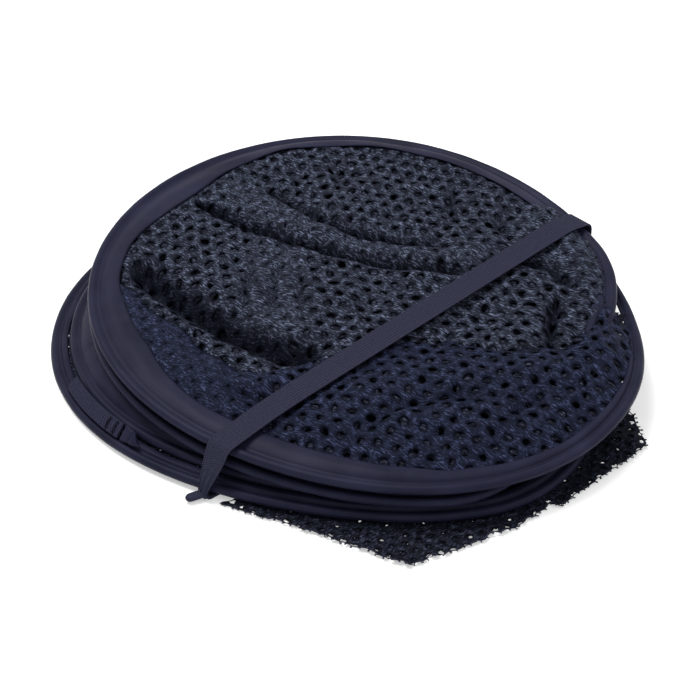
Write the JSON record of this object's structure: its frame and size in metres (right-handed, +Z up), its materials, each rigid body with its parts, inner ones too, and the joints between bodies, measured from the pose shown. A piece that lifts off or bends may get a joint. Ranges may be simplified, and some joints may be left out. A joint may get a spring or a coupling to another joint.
{
  "type": "folded pop-up mesh hamper",
  "caption": "Pop-up mesh hamper twisted flat: coiled spring-wire loops in sewn binding, crumpled net inside, closed by a flat elastic band.",
  "frame": {"origin": "under the middle of the part's box, at the level of the surface it rests on", "axes": "+Z up; the front, where the loose panel's corner sticks out, is toward -Y; the webbing handle is on the -X side"},
  "size_m": [0.267, 0.2698, 0.0441],
  "materials": {
    "spring_steel": "bare, oiled",
    "zinc_plated_steel": "zinc plated",
    "navy_satin_binding": "smooth woven polyester with a slight sheen",
    "navy_honeycomb_mesh": "knitted polyester net with hexagonal holes",
    "navy_ribbed_webbing": "cross-ribbed woven webbing",
    "navy_elastic": "flat elastic with fine lengthwise ribs",
    "navy_thread": "dense zigzag stitching"
  },
  "bodies": {
    "lower_coil": {"lower_spring_wire": "spring_steel", "lower_wire_ferrule": "zinc_plated_steel", "lower_binding_sleeve": "navy_satin_binding", "lower_sleeve_lap": "navy_satin_binding", "lower_mesh_panel": "navy_honeycomb_mesh", "loose_mesh_panel": "navy_honeycomb_mesh", "handle_anchor_tape": "navy_satin_binding"},
    "upper_coil": {"upper_spring_wire": "spring_steel", "upper_wire_ferrule": "zinc_plated_steel", "upper_binding_sleeve": "navy_satin_binding", "upper_sleeve_lap": "navy_satin_binding", "upper_mesh_panel": "navy_honeycomb_mesh", "front_mesh_panel": "navy_honeycomb_mesh"},
    "band": {"elastic_band": "navy_elastic", "elastic_band_lap": "navy_thread"},
    "front_corner": {"loose_panel_front_corner": "navy_honeycomb_mesh"},
    "right_corner": {"loose_panel_right_corner": "navy_honeycomb_mesh"},
    "handle": {"carry_handle": "navy_ribbed_webbing", "handle_end_tack": "navy_thread", "handle_inner_tack": "navy_thread"}
  },
  "joints": [
    {"name": "upper_coil_fan", "type": "hinge", "parent": "lower_coil", "child": "upper_coil", "pos_m": [0.1365, 0.011, 0.012], "axis": [0, 1, 0], "range_deg": [0, 30], "deforming": ["elastic_band", "elastic_band_lap"]},
    {"name": "band_slip", "type": "slide", "parent": "lower_coil", "child": "band", "axis": [0.682, -0.7314, 0], "range_m": [0, 0.15]},
    {"name": "front_corner_lift", "type": "hinge", "parent": "lower_coil", "child": "front_corner", "pos_m": [0.02735, -0.11153, 0.0008], "axis": [-1, 0, 0], "range_deg": [0, 75]},
    {"name": "right_corner_lift", "type": "hinge", "parent": "lower_coil", "child": "right_corner", "pos_m": [0.10771, -0.06685, 0.0008], "axis": [-0.5736, -0.8192, 0], "range_deg": [0, 75]},
    {"name": "handle_swing", "type": "hinge", "parent": "lower_coil", "child": "handle", "pos_m": [-0.09559, -0.0572, 0.00846], "axis": [0, 0, 1], "range_deg": [0, 40]}
  ],
  "couplings": [
    {"joint": "band_slip", "follows": "upper_coil_fan", "m_per_rad": 0.2864}
  ]
}
